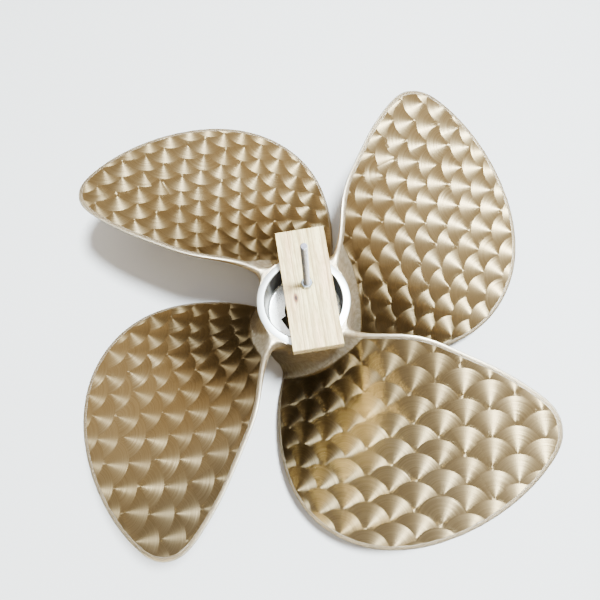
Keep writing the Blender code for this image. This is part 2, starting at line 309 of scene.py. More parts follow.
def sectionRing(share):  # one closed section, over the face and back along the back
    p = propeller
    radius = float(rowRadius(share))
    low, high = float(outlineTurn(-share)), float(outlineTurn(share))
    across = chordColumns(share)
    spread = (p["radius"] - radius) / (p["radius"] * (1 - p["outlineRoot"]))
    thick = p["tipThickness"] + (p["rootThickness"] - p["tipThickness"]) * spread
    angle = math.atan2(p["pitch"], 2 * math.pi * radius)
    turn = low + (high - low) * (across + 1) / 2
    left = 1.0 - np.minimum(insideEdge(share, across) / p["edgeRound"], 1.0)
    rounding = np.sqrt(np.maximum(1.0 - left * left, 0.0))
    edge = p["edgeThickness"] + p["rootEdgeExtra"] * spread ** p["rootEdgePower"]
    full = edge + (thick - edge) * (1 - across ** 2) ** p["fullness"]
    half = 0.5 * full * rounding
    sides = []
    for depth in (full / 2 - half, full / 2 + half):
        slide = depth * math.sin(angle) / radius
        drop = depth * math.cos(angle)
        sides.append(np.stack([turn - slide, np.full_like(turn, radius), faceHeight(radius, turn) - drop], 1))
    face, back = sides
    return np.concatenate([face, back[-2:0:-1]])


def flared(ring, out, rise):  # a section spread outwards over the hub's wall
    base = ring[0, 1]
    flat = np.stack([base * ring[:, 0], ring[:, 2]], 1)
    step = np.roll(flat, -1, 0) - np.roll(flat, 1, 0)
    normal = np.stack([step[:, 1], -step[:, 0]], 1) / np.maximum(np.hypot(step[:, 0], step[:, 1]), 1e-9)[:, None]
    for _ in range(4):
        normal = 0.5 * normal + 0.25 * (np.roll(normal, 1, 0) + np.roll(normal, -1, 0))
        normal /= np.hypot(normal[:, 0], normal[:, 1])[:, None]
    moved = flat + out * normal
    return np.stack([moved[:, 0] / base, hubRadius(moved[:, 1]) + rise, moved[:, 1]], 1)


def softLimit(values, low, high, softness):  # keeps values between two limits, with rounded bends
    softness = max(softness, 1e-6)
    near = np.clip(0.5 + 0.5 * (values - high) / softness, 0, 1)
    values = values * (1 - near) + high * near - softness * near * (1 - near)
    near = np.clip(0.5 - 0.5 * (values - low) / softness, 0, 1)
    return values * (1 - near) + low * near + softness * near * (1 - near)


def bladeRings():  # sections from the tip inwards, then the fillet's
    p = propeller
    last = rowShare(float(hubRadius(p["hubLength"])) + p["filletRadius"])
    shares = list(p["tipRows"])
    first = shares[-1]
    shares += [first + (last - first) * (i + 1) / p["spanRows"] for i in range(p["spanRows"])]
    rings = [sectionRing(share) for share in shares]
    root = rings[-1]
    before = np.roll(root, 1, 0)
    sign = 1.0 if np.sum(before[:, 0] * root[:, 2] - root[:, 0] * before[:, 2]) > 0 else -1.0
    size = p["filletRadius"]
    for i in range(1, p["filletSteps"] + 1):
        angle = math.pi / 2 * (1 - i / p["filletSteps"])
        out = size * (1 - math.sin(angle))
        rise = size * (1 - math.cos(angle))
        roof = p["hubLength"] - p["filletRoof"] + p["filletRise"] * (rise / size) ** 2
        radius = max(float(hubRadius(p["hubLength"])) + rise, p["outlineRoot"] * p["radius"])
        ring = flared(sectionRing(rowShare(radius)), sign * out, rise)
        ring[:, 2] = softLimit(ring[:, 2], p["filletFloor"], roof, p["softness"] * (1 - rise / size))
        rings.append(ring)
    sunk = rings[-1].copy()
    sunk[:, 1] -= p["rootSink"]
    return rings + [sunk]


def standing(points, start):  # turn, radius and height to x, y and z
    angle = start - points[:, 0]
    return np.stack([points[:, 1] * np.cos(angle), points[:, 1] * np.sin(angle), points[:, 2]], 1)


def buildBlade(index):
    p = propeller
    tipTurn = float(outlineTurn(0.0))
    start = 2 * math.pi * index / p["blades"] + tipTurn
    rings = bladeRings()
    count = len(rings[0])
    half = count // 2
    tip = np.array([[tipTurn, p["radius"], float(faceHeight(p["radius"], tipTurn)) - p["edgeThickness"] / 2]])
    flat = np.concatenate(rings + [tip])
    tipIndex = len(flat) - 1
    faces = bandFaces(len(rings), count)
    faces += [(tipIndex, i, (i + 1) % count) for i in range(count)]
    inner = (len(rings) - 1) * count  # the sunk end is closed with quads from face to back
    for i in range(half):
        quad = [inner + i, inner + i + 1, inner + (count - i - 1) % count, inner + (count - i) % count]
        faces.append(tuple(dict.fromkeys(quad)))
    onBack = np.append(np.tile(np.arange(count) >= half, len(rings)), False)
    foot = range(inner - count, inner)  # the fillet's last ring, on the hub's wall
    return standing(flat, start), faces, flat, onBack, foot


def boreRing(height, sides):  # the tapered bore with its keyway, at one height
    p = propeller
    floor = p["hubLength"] - p["recessDepth"]
    radius = p["boreForwardRadius"] + (p["boreAftRadius"] - p["boreForwardRadius"]) * height / floor
    side = p["keywayWidth"] / 2
    outer = radius + p["keywayDepth"]
    mouth = math.asin(side / radius)
    bottom, wall = p["keywaySteps"]
    arc = sides - bottom - 2 * wall
    points = []
    for i in range(arc + 1):
        angle = mouth + (2 * math.pi - 2 * mouth) * i / arc
        points.append((radius * math.cos(angle), radius * math.sin(angle)))
    reach = radius * math.cos(mouth)
    for i in range(1, wall + 1):
        points.append((reach + (outer - reach) * i / wall, -side))
    for i in range(1, bottom + 1):
        points.append((outer, -side + 2 * side * i / bottom))
    for i in range(1, wall):
        points.append((outer + (reach - outer) * i / wall, side))
    turn = math.radians(p["keywayAngle"])
    c, s = math.cos(turn), math.sin(turn)
    return np.array([(c * x - s * y, s * x + c * y, height) for x, y in points])


# Finishes of the turned faces: each mottles from its colour to its pale one, with turning lines.
# Where toward is given, the side that faces that way is painted light and the other side painted shade.
turned = {
    "ring_bronze": {"color": (0.89, 0.93, 0.91), "pale": (0.96, 0.99, 0.97), "rough": 0.34, "lines": 900.0},
    "recess_bronze": {"color": (0.93, 0.95, 0.91), "pale": (0.99, 1.00, 0.98), "rough": 0.20, "lines": 700.0,
                      "specks": 0.80},
    # the bore's dark tone is painted shade in the hole
    "bore_painted_shade": {"color": (0.20, 0.15, 0.10), "pale": (0.30, 0.24, 0.16), "rough": 0.34, "lines": 1400.0},
    "forward_bronze": {"color": (0.70, 0.60, 0.44), "pale": (0.80, 0.72, 0.56), "rough": 0.32, "lines": 900.0},
    # the recess wall: painted shade, with painted light on the side facing toward
    "wall_painted_light_and_shade": {"color": (0.030, 0.024, 0.018), "pale": (0.84, 0.83, 0.78), "rough": 0.22, "lines": 900.0,
                    "toward": (-0.43, -0.90)},
    # the lip's dark tone is painted shade along the recess's edge
    "lip_painted_shade": {"color": (0.08, 0.07, 0.06), "pale": (0.34, 0.32, 0.28), "rough": 0.50, "lines": 900.0},
}
turnedFace = {
    "mottleScale": 34.0,
    "mottle": (0.35, 0.65),
    "mottleRough": 0.14,
    "paintedLightSide": (0.55, 0.76),  # how far a place faces the side with painted light, from painted shade to painted light
    "paintedLightSideUneven": 0.12,
    "paintedShadeSideRough": 0.7,
    "speckColor": (0.10, 0.08, 0.06),
    "speckPatches": (36.0, 0.38, 0.58),  # scale, and from where to where they set in
    "speckDots": (620.0, 0.55, 0.64),
    "speckedMetallic": 0.9,
    "mottleHeight": 0.5,
    "bumpStrength": 0.25,
    "bumpHeight": 0.0002,
}
castingFinishes = ("ring_bronze", "recess_bronze", "bore_painted_shade", "forward_bronze", "wall_painted_light_and_shade",
                   "ground_bronze", "lip_painted_shade")


def buildHub():  # one closed stack of rings: down the bore, up the outside, down into the recess
    p = propeller
    length, floor = p["hubLength"], p["hubLength"] - p["recessDepth"]
    sides = p["hubSides"]
    probe = boreRing(0.0, sides)
    angles = np.unwrap(np.arctan2(probe[:, 1], probe[:, 0]))
    edge, corner, lip = p["hubEdge"], p["recessCorner"], p["recessEdge"]
    shoulder = p["hubEdgeShoulder"] * edge
    aft, forward, recess = p["hubAftRadius"], p["hubForwardRadius"], p["recessRadius"]
    rings, bands = [], []

    def add(finish, ring):  # the finish is that of the band which leads to the ring
        rings.append(ring)
        bands.append(castingFinishes.index(finish))

    def addCircle(finish, radius, z):
        add(finish, circle(radius, z, angles))

    add("recess_bronze", boreRing(floor, sides))
    for i in range(p["boreRows"] - 1, -1, -1):
        add("bore_painted_shade", boreRing(floor * i / p["boreRows"], sides))
    addCircle("forward_bronze", forward - edge, 0.0)
    addCircle("ground_bronze", forward - shoulder, shoulder)
    addCircle("ground_bronze", forward, edge)
    for i in range(1, p["hubRows"] + 1):
        z = edge + (length - 2 * edge) * i / p["hubRows"]
        addCircle("ground_bronze", float(hubRadius(z)), z)
    addCircle("ground_bronze", aft - shoulder, length - shoulder)
    addCircle("ring_bronze", aft - edge, length)
    addCircle("ring_bronze", recess + lip, length)
    addCircle("lip_painted_shade", recess, length - lip)
    for i in range(1, p["recessRows"] + 1):
        addCircle("wall_painted_light_and_shade", recess, length - lip - (p["recessDepth"] - lip - corner) * i / p["recessRows"])
    for i in range(1, p["recessCornerRows"] + 1):
        a = math.pi / 2 * i / p["recessCornerRows"]
        addCircle("recess_bronze", recess - corner * (1 - math.cos(a)), floor + corner - corner * math.sin(a))
    addCircle("recess_bronze", 0.5 * (recess + p["boreAftRadius"]) + p["recessFloorRing"], floor)
    slots = [bands[(k + 1) % len(bands)] for k in range(len(bands)) for _ in range(sides)]
    return np.concatenate(rings), bandFaces(len(rings), sides, closed=True), slots


# The grinding's rows of overlapping discs. One start for each blade, counter-clockwise from +X:
# the place of one disc, and the size of the discs.
grinding = {
    "starts": ((0.2923, 0.1083, 1.04), (0.3000, 0.1475, 0.97), (0.2983, 0.1113, 0.94), (0.2907, 0.1433, 1.045)),
    "grit": (0.020, 0.012, -0.004, -0.065),  # each blade's own roughness, more or less
    "lateGrit": (-0.038, 0.0, 0.0, 0.0),  # and what is added towards its far edge
    "lateTurns": (28.0, 48.0),
    "middleTurn": 25.0,
    "middleRadius": 0.6,
    "backShift": 0.31,  # the back's rows lie beside the face's
    "rowStep": 0.0300,
    "discStep": 0.0345,
    "discRadius": 0.0315,
    "jitter": 0.0029,
    "bow": 1.85,  # how the rows bend past bowStart
    "bowStart": -0.02,
}
ground = {
    "warm": (0.62, 0.470, 0.238),
    "pale": (0.70, 0.560, 0.318),
    "dark": (0.30, 0.20, 0.10),
    "clouds": (9.0, 0.35, 0.65),  # scale, and from where to where warm turns pale
    "edgeDark": 0.25,  # shares of the dark tone: at a disc's border,
    "discDark": 0.26,  # from disc to disc,
    "ringDark": 0.50,  # in a disc's rings,
    "rootPaintedShade": 0.40,  # painted shade at the root,
    "finestBladePaintedShade": 0.10,  # and painted shade on the finest blade
    "rootPaintedShadeReach": 0.12,
    "satin": (0.58, 0.47, 0.31),
    "satinPale": (0.71, 0.61, 0.45),
    "satinClouds": (180.0, 0.40, 0.62),
    "satinRough": 0.46,
    "rimColors": ((0.82, 0.73, 0.56), (0.54, 0.43, 0.28), (0.86, 0.80, 0.68)),  # from the edge inwards; the pale outer line is partly the polished edge's own tone and partly a painted highlight
    "rimSteps": ((0.0008, 0.0020), (0.0044, 0.0052)),
    "rimFade": (0.0078, 0.0062),
    "rimRootFade": (-0.006, 0.004),  # the rim's tones end at the root
    "discsFromRim": (0.0054, 0.0066),
    "discsFromRoot": (0.001, 0.004),
    "uneven": (60.0, 0.0016),  # scale and size of the borders' waver
    "dust": (900.0, 0.0036),
    "rings": (20.0, 4.0, 0.7),  # rings in a radius, detail and roughness of their noise
    "streaks": 14.0,
    "discSeed": 40.0,
    "wander": 0.05,
    "grain": (2600.0, 6.0),  # the satin's scratches lie every way
    "anisotropic": 0.86,
    "discBorder": (0.975, 1.0),
    "ringTones": (0.62, 0.34),
    # near-white specks on the blades: painted glints
    "speckColor": (0.98, 0.95, 0.88),
    "speckScale": 55.0,
    "speckSize": (0.035, 0.02),
    "speckChance": 0.80,
    "rough": 0.25,
    "ringRough": 0.22,
    "streakRough": 0.08,
    "discRough": (7.0, 0.10),
    "rootRough": -0.05,
    "rootRoughReach": 0.10,
    "smoothest": 0.28,
    "ringHeight": 2.4,
    "borderHeight": -0.6,
    "fineHeight": (420.0, 0.8),
    "bumpStrength": 0.12,
    "bumpHeight": 0.0004,
    "rootBorder": (0.0768, 0.0000046, 45.0),  # radius, widening, and the turn where it is least
    "farthest": (0.03, 0.13),  # distances from rim and root are kept up to these
}


def sheetPoint(points):  # a blade's face rolled out flat, as a piece of a cone
    lead = propeller["pitch"] / (2 * math.pi)
    middle = grinding["middleRadius"] * propeller["radius"]
    cone = middle / math.hypot(middle, lead)
    offset = math.hypot(middle, lead) / cone
    f = points[:, 1] - middle + offset
    angle = cone * (math.radians(grinding["middleTurn"]) - points[:, 0])
    return f * np.cos(angle), f * np.sin(angle)


def rimDistance(points):
    shares = np.linspace(-1.0, 1.0, 721)
    outline = np.stack([outlineTurn(shares), rowRadius(shares)], 1)
    lineU, lineV = sheetPoint(outline)
    u, v = sheetPoint(points)
    return np.hypot(u[:, None] - lineU[None, :], v[:, None] - lineV[None, :]).min(1)


def discGroup():  # finds the disc on top: angle round it, reach and tone
    g = grinding
    tree = bpy.data.node_groups.new("grindingDiscs", "ShaderNodeTree")
    for name in ("Sheet", "Start"):
        tree.interface.new_socket(name, in_out="INPUT", socket_type="NodeSocketVector")
    for name in ("Turn", "Reach", "Tone"):
        tree.interface.new_socket(name, in_out="OUTPUT", socket_type="NodeSocketFloat")
    n = Nodes(tree)
    source = n.add("NodeGroupInput")
    target = n.add("NodeGroupOutput")
    u, v, _ = n.split(source.outputs["Sheet"])
    u0, v0, size = n.split(source.outputs["Start"])
    rowStep, discStep, discRadius = (n.times(size, g[key]) for key in ("rowStep", "discStep", "discRadius"))

    def bow(value):
        below = n.math("MAXIMUM", n.minus(g["bowStart"], value), 0.0)
        return n.times(n.times(below, below), g["bow"])

    x = n.over(n.minus(n.plus(u, bow(v)), u0), rowStep)
    y = n.over(n.minus(v, v0), discStep)
    nearest = n.math("ROUND", x)
    best = None
    for di in (-1.0, 0.0, 1.0):  # each row covers part of the one before
        row = n.plus(nearest, di)
        half = n.times(n.math("MODULO", n.math("ABSOLUTE", row), 2.0), 0.5)
        inRow = n.plus(y, half)
        for rounding in ("CEIL", "FLOOR"):
            disc = n.math(rounding, inRow)
            random = n.add("ShaderNodeTexWhiteNoise", {"Vector": n.xyz(row, disc, u0)}, noise_dimensions="3D")
            chance = n.add("ShaderNodeSeparateColor", {0: random.outputs["Color"]}).outputs
            centreV = n.plus(v0, n.times(n.minus(disc, half), discStep))
            centreU = n.plus(u0, n.times(row, rowStep))
            centreU = n.minus(centreU, bow(centreV))
            du = n.minus(u, n.plus(centreU, n.swing(chance[0], 2 * g["jitter"])))
            dv = n.minus(v, n.plus(centreV, n.swing(chance[1], 2 * g["jitter"])))
            reach = n.over(n.length(du, dv), discRadius)
            found = (n.math("ARCTAN2", dv, du), reach, chance[2])
            if best is None:
                best = found
            else:
                inside = n.math("LESS_THAN", reach, 1.0)
                best = tuple(n.mix(inside, old, new) for old, new in zip(best, found))
    turn = n.over(best[0], 2 * math.pi)
    for name, value in zip(("Turn", "Reach", "Tone"), (turn, best[1], best[2])):
        tree.links.new(value, target.inputs[name])
    return tree


def groundBronze():
    g = ground
    material, n, shader = newMaterial("ground_bronze")
    sheet = n.add("ShaderNodeUVMap", uv_map="sheet").outputs[0]
    discs = n.add("ShaderNodeGroup", node_tree=discGroup())
    n.feed(discs.inputs["Sheet"], sheet)
    n.feed(discs.inputs["Start"], n.attribute("grindStart", "Vector"))
    turn, reach, tone = (discs.outputs[name] for name in ("Turn", "Reach", "Tone"))
    rim, root, grit = n.attribute("rim"), n.attribute("root"), n.attribute("grit")
    place = n.place()

    def clouds(key):
        scale, low, high = g[key]
        return n.remap(n.noise(place, scale, 3.0), low, high)

    # the discs stop short of the rim and the root, along worn borders
    uneven = n.noise(place, g["uneven"][0], 3.0)
    fromRim, fromRoot = (n.scaled(uneven, g["uneven"][1], distance) for distance in (rim, root))
    fromRoot = n.plus(fromRoot, n.swing(n.noise(place, g["dust"][0], 1.0), g["dust"][1]))
    discMask = n.times(n.remap(fromRim, *g["discsFromRim"], smooth=True),
                      n.remap(fromRoot, *g["discsFromRoot"], smooth=True))

    # the scratches run round each disc's centre
    ringCount, ringDetail, ringNoise = g["rings"]
    seed = n.times(tone, g["discSeed"])
    rings = n.noise(n.xyz(n.times(reach, ringCount), seed), 1.0, ringDetail, ringNoise)
    streak = n.noise(n.xyz(n.times(turn, g["streaks"]), seed, 3.0), 1.0)
    grain = n.times(n.noise(place, g["grain"][0], 1.0), g["grain"][1])
    aroundDisc = n.plus(turn, n.swing(rings, g["wander"]))
    tangent = n.add("ShaderNodeTangent", direction_type="UV_MAP", uv_map="sheet").outputs[0]
    n.set(shader, {"Anisotropic": g["anisotropic"], "Tangent": tangent,
                   "Anisotropic Rotation": n.mix(discMask, grain, aroundDisc)})

    border = n.remap(reach, *g["discBorder"], smooth=True)
    # the finest blade's share of the dark tone, below, is painted shade
    base = n.mixColor(clouds("clouds"), g["warm"], g["pale"])
    # the share at the root is painted shade
    for share in (n.times(border, g["edgeDark"]),
                  n.remap(tone, 0.0, 1.0, 0.0, g["discDark"]),
                  n.remap(rings, *g["ringTones"], 0.0, g["ringDark"]),
                  n.remap(root, 0.0, g["rootPaintedShadeReach"], g["rootPaintedShade"], 0.0),
                  n.remap(grit, 0.0, min(grinding["grit"]), 0.0, g["finestBladePaintedShade"])):
        base = n.mixColor(share, base, g["dark"])
    satin = n.mixColor(clouds("satinClouds"), g["satin"], g["satinPale"])
    # the rim's pale outer tone is partly a painted highlight
    outer, middle, inner = g["rimColors"]
    rimTone = n.mixColor(n.remap(rim, *g["rimSteps"][0]), outer, middle)
    rimTone = n.mixColor(n.remap(rim, *g["rimSteps"][1]), rimTone, inner)
    rimShare = n.times(n.remap(rim, *g["rimFade"]), n.remap(root, *g["rimRootFade"]))
    color = n.mixColor(discMask, n.mixColor(rimShare, satin, rimTone), base)
    # small near-white specks, painted glints
    cells = n.add("ShaderNodeTexVoronoi", {"Vector": place, "Scale": g["speckScale"]})
    chance = n.add("ShaderNodeSeparateColor", {0: cells.outputs["Color"]}).outputs[0]
    paintedGlint = n.times(n.remap(cells.outputs["Distance"], *g["speckSize"]),
                   n.math("GREATER_THAN", chance, g["speckChance"]))
    n.set(shader, {"Base Color": n.mixColor(paintedGlint, color, g["speckColor"]), "Metallic": 1.0})

    rough = n.scaled(rings, g["ringRough"], g["rough"])
    ofDisc = n.math("FRACT", n.times(tone, g["discRough"][0]))
    for part in (n.swing(streak, g["streakRough"]), n.swing(ofDisc, g["discRough"][1]), grit,
                 n.remap(root, 0.0, g["rootRoughReach"], g["rootRough"], 0.0)):
        rough = n.plus(rough, part)
    rough = n.math("MAXIMUM", rough, g["smoothest"])
    n.set(shader, {"Roughness": n.mix(discMask, g["satinRough"], rough)})

    height = n.plus(n.swing(rings, g["ringHeight"]), n.times(border, g["borderHeight"]))
    height = n.times(height, discMask)
    fine = n.times(n.noise(place, g["fineHeight"][0], 3.0), g["fineHeight"][1])
    n.bump(shader, n.plus(height, fine), g["bumpStrength"], g["bumpHeight"])
    return material


def turnedBronze(name):
    own, f = turned[name], turnedFace
    specks = own.get("specks", 0.0)
    material, n, shader = newMaterial(name)
    place = n.place()
    x, y, z = n.split(place)
    radius = n.length(x, y)
    lines = n.times(n.plus(radius, z), own["lines"])
    lines = n.noise(n.xyz(lines, 0.0, 0.0), 1.0, 3.0, 0.7)
    blotch = n.noise(place, f["mottleScale"], 4.0)
    metallic = f["speckedMetallic"] if specks else 1.0
    share = n.remap(blotch, *f["mottle"])
    rough = own["rough"]
    # painted light on the side facing toward, painted shade elsewhere
    if "toward" in own:
        lean = n.over(n.along((x, y), own["toward"]), radius)
        share = n.remap(n.scaled(blotch, f["paintedLightSideUneven"], lean), *f["paintedLightSide"], smooth=True)
        metallic = share
        rough = n.mix(share, f["paintedShadeSideRough"], rough)
    color = n.mixColor(share, own["color"], own["pale"])
    if specks:
        patch, dots = (n.remap(n.noise(place, scale), low, high)
                       for scale, low, high in (f["speckPatches"], f["speckDots"]))
        color = n.mixColor(n.times(n.times(dots, patch), specks), color, f["speckColor"])
    n.set(shader, {"Base Color": color, "Metallic": metallic,
                   "Roughness": n.scaled(blotch, f["mottleRough"], rough)})
    height = n.plus(lines, n.times(blotch, f["mottleHeight"]))
    n.bump(shader, height, f["bumpStrength"], f["bumpHeight"])
    return material


def buildPropeller():
    g = grinding
    finishes = [turnedBronze(name) if name in turned else groundBronze() for name in castingFinishes]
    hubVerts, faces, slots = buildHub()
    hubCount = len(hubVerts)
    farRim, farRoot = ground["farthest"]
    borderRadius, borderWiden, borderTurn = ground["rootBorder"]
    verts, flats, backs, feet = [hubVerts], [np.zeros((hubCount, 3))], [np.zeros(hubCount, bool)], set()
    values = {"rim": [np.full(hubCount, farRim)], "root": [np.zeros(hubCount)], "grit": [np.zeros(hubCount)]}
    starts = [np.zeros((hubCount, 3))]
    count = hubCount
    for index in range(propeller["blades"]):
        bladeVerts, bladeFaces, flat, onBack, foot = buildBlade(index)
        feet.update(count + v for v in foot)
        faces += [tuple(v + count for v in face) for face in bladeFaces]
        slots += [castingFinishes.index("ground_bronze")] * len(bladeFaces)
        count += len(flat)
        verts.append(bladeVerts)
        flats.append(flat)
        backs.append(onBack)
        turn = np.degrees(flat[:, 0])
        rootBorder = borderRadius + borderWiden * (turn - borderTurn) ** 2
        late = np.clip(np.interp(turn, g["lateTurns"], (0.0, 1.0)), 0, 1)
        values["rim"].append(np.minimum(rimDistance(flat), farRim))
        values["root"].append(np.clip(flat[:, 1] - rootBorder, -farRim, farRoot))
        values["grit"].append(g["grit"][index] + g["lateGrit"][index] * late)
        starts.append(np.tile(g["starts"][index], (len(flat), 1)))
    item = newObject("propeller_fine", np.concatenate(verts), faces, finishes, propeller["sharpAngle"])
    mesh = item.data
    mesh.polygons.foreach_set("material_index", slots)
    for edge in mesh.edges:  # on the blades only the fillets' feet stay sharp
        if edge.vertices[0] >= hubCount:
            edge.use_edge_sharp = edge.vertices[0] in feet and edge.vertices[1] in feet
    u, v = sheetPoint(np.concatenate(flats))
    u[:hubCount] = propeller["hubAftRadius"] * np.arctan2(hubVerts[:, 1], hubVerts[:, 0])
    v[:hubCount] = hubVerts[:, 2] + hubVerts[:, 1] * 0.5
    onBack = np.concatenate(backs)
    loopVerts = np.zeros(len(mesh.loops), int)
    mesh.loops.foreach_get("vertex_index", loopVerts)
    loopBack = np.zeros(len(mesh.loops), bool)
    for polygon in mesh.polygons:  # a face is on the back when any of its corners is
        if any(onBack[k] for k in polygon.vertices):
            loopBack[list(polygon.loop_indices)] = True
    uv = np.stack([u[loopVerts], np.where(loopBack, -v[loopVerts] + g["backShift"], v[loopVerts])], 1)
    mesh.uv_layers.new(name="sheet").data.foreach_set("uv", uv.astype(np.float32).ravel())
    for name, parts in values.items():
        layer = mesh.attributes.new(name, "FLOAT", "POINT")
        layer.data.foreach_set("value", np.concatenate(parts).astype(np.float32))
    layer = mesh.attributes.new("grindStart", "FLOAT_VECTOR", "POINT")
    layer.data.foreach_set("vector", np.concatenate(starts).astype(np.float32).ravel())
    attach(item, "propeller")
    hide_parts("propeller_casting")
    print("propeller made:", len(mesh.polygons), "faces")


bar = {
    "length": 0.154,
    "width": 0.062,
    "thickness": 0.021,
    "centre": (-0.0004, 0.0130),
    "angle": 133.5,
    "edge": 0.0012,
    "edgeAngles": (0, 30, 60, 90),
    "bottom": 0.1783,
    "holeRadius": 0.0046,
    "sides": 64,
    "sharpAngle": 40.0,
}
wood = {
    "pale": (1.00, 0.85, 0.42),
    "pink": (0.98, 0.68, 0.36),
    "late": (0.20, 0.085, 0.02),
    "fibre": (0.34, 0.21, 0.06),
    "yearsPerMetre": 290.0,
    "pith": (0.075, 0.060),  # how far the tree's middle lies from the board
    "yearWaver": ((7.0, 30.0, 30.0), 0.005),  # scales and size of the years' waver
    "yearWidths": (90.0, 5.0),  # scale and size of the change in their widths
    "latePower": 1.3,
    "lateShare": (0.8, 0.2),
    "fibreScales": (60.0, 450.0, 450.0),
    "fibreTones": (0.38, 0.66),
    "fibreShare": 0.62,
    "blushScales": (12.0, 70.0, 70.0),
    "blushTones": (0.35, 0.7),
    "knot": (-0.0117, 0.0175),
    "knotRadius": 0.0040,
    "knotStretch": 0.45,
    "knotPush": -260.0,  # how fast the grain closes again past the knot
    "knotUneven": 0.002,
    "knotCore": 0.4,
    "knotShare": 0.90,
    "knotColor": (0.15, 0.032, 0.012),
    "knotHeart": (0.020, 0.008, 0.004),
    "heartSize": (0.0016, 0.0009),
    "rough": (0.2, 0.55),
    "lateHeight": 0.6,
    "bumpStrength": 0.35,
    "bumpHeight": 0.0003,
}


def paleSoftwood():
    w = wood
    material, n, shader = newMaterial("pale_softwood")
    x, y, z = parts = n.split(n.place())
    waverScales, waverSize = w["yearWaver"]
    slow = n.stretched(parts, waverScales, 3.0)
    # the board was sawn well away from the pith, so its rings run nearly straight
    radius = n.length(n.plus(y, w["pith"][0]), n.plus(z, w["pith"][1]))
    radius = n.plus(radius, n.swing(slow, waverSize))
    # the grain parts round the knot
    kx = n.times(n.minus(x, w["knot"][0]), w["knotStretch"])
    ky = n.minus(y, w["knot"][1])
    knotReach = n.length(kx, ky)
    push = n.times(n.math("SIGN", ky), n.math("EXPONENT", n.times(knotReach, w["knotPush"])))
    radius = n.minus(radius, n.times(push, w["knotRadius"]))
    widthScale, widthSize = w["yearWidths"]
    widths = n.noise(n.xyz(n.times(radius, widthScale), 0.0, 0.0), 1.0)
    phase = n.plus(n.times(radius, w["yearsPerMetre"]), n.times(widths, widthSize))
    year = n.add("ShaderNodeTexWhiteNoise", {"W": n.math("FLOOR", phase)}, noise_dimensions="1D").outputs["Value"]
    late = n.times(n.math("POWER", n.math("FRACT", phase), w["latePower"]),
                  n.scaled(year, *w["lateShare"]))
    fibre = n.stretched(parts, w["fibreScales"], 4.0, 0.65)
    blush = n.stretched(parts, w["blushScales"], 2.0)
    base = n.mixColor(n.remap(blush, *w["blushTones"]), w["pale"], w["pink"])
    base = n.mixColor(late, base, w["late"])
    base = n.mixColor(n.remap(fibre, *w["fibreTones"], 0.0, w["fibreShare"]), base, w["fibre"])
    knotMask = n.remap(n.plus(knotReach, n.swing(fibre, w["knotUneven"])),
                       w["knotRadius"], w["knotCore"] * w["knotRadius"], smooth=True)
    base = n.mixColor(n.times(knotMask, w["knotShare"]), base, w["knotColor"])
    heart = n.remap(n.plus(knotReach, n.swing(fibre, w["knotUneven"] / 2)), *w["heartSize"])
    n.set(shader, {"Base Color": n.mixColor(heart, base, w["knotHeart"]), "Roughness": n.scaled(fibre, *w["rough"])})
    height = n.plus(fibre, n.times(late, w["lateHeight"]))
    n.bump(shader, height, w["bumpStrength"], w["bumpHeight"])
    return material


def buildBar():
    b = bar
    angle = math.radians(b["angle"])
    c, s = math.cos(angle), math.sin(angle)
    hx, hy = rod["centre"][0] - b["centre"][0], rod["centre"][1] - b["centre"][1]
    hole = (c * hx + s * hy, -s * hx + c * hy)
    sides = b["sides"]
    turns = evenAngles(sides, 0.5)

    def outline(margin):  # the bar's border, seen from its hole
        halfX, halfY = b["length"] / 2 - margin, b["width"] / 2 - margin
        corners = np.arctan2([halfY - hole[1], halfY - hole[1], -halfY - hole[1], -halfY - hole[1]],
                             [halfX - hole[0], -halfX - hole[0], -halfX - hole[0], halfX - hole[0]])
        own = turns.copy()
        for corner in corners:  # one point is moved into each corner
            near = np.argmin(np.abs(np.angle(np.exp(1j * (own - corner)))))
            own[near] = corner
        points = []
        for t in own:
            dx, dy = math.cos(t), math.sin(t)
            reachX = ((halfX if dx > 0 else -halfX) - hole[0]) / dx if abs(dx) > 1e-9 else 1e9
            reachY = ((halfY if dy > 0 else -halfY) - hole[1]) / dy if abs(dy) > 1e-9 else 1e9
            reach = min(reachX, reachY)
            points.append((hole[0] + dx * reach, hole[1] + dy * reach))
        return np.array(points)

    def ring(margin, z):
        return np.concatenate([outline(margin), np.full((sides, 1), z)], 1)

    high, edge = b["thickness"], b["edge"]
    steps = [(edge * (1 - math.sin(a)), edge * (1 - math.cos(a))) for a in np.radians(b["edgeAngles"])]
    rings = [circle(b["holeRadius"], 0.0, turns, hole)]
    rings += [ring(margin, z) for margin, z in steps]
    rings += [ring(margin, high - z) for margin, z in steps[::-1]]
    rings += [circle(b["holeRadius"], high, turns, hole)]
    item = newObject("clamp_bar_fine", np.concatenate(rings), bandFaces(len(rings), sides, closed=True),
                     [paleSoftwood()], b["sharpAngle"], (*b["centre"], b["bottom"]), angle)
    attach(item, "clamp")
    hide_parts("clamp_bar")
    print("bar made")


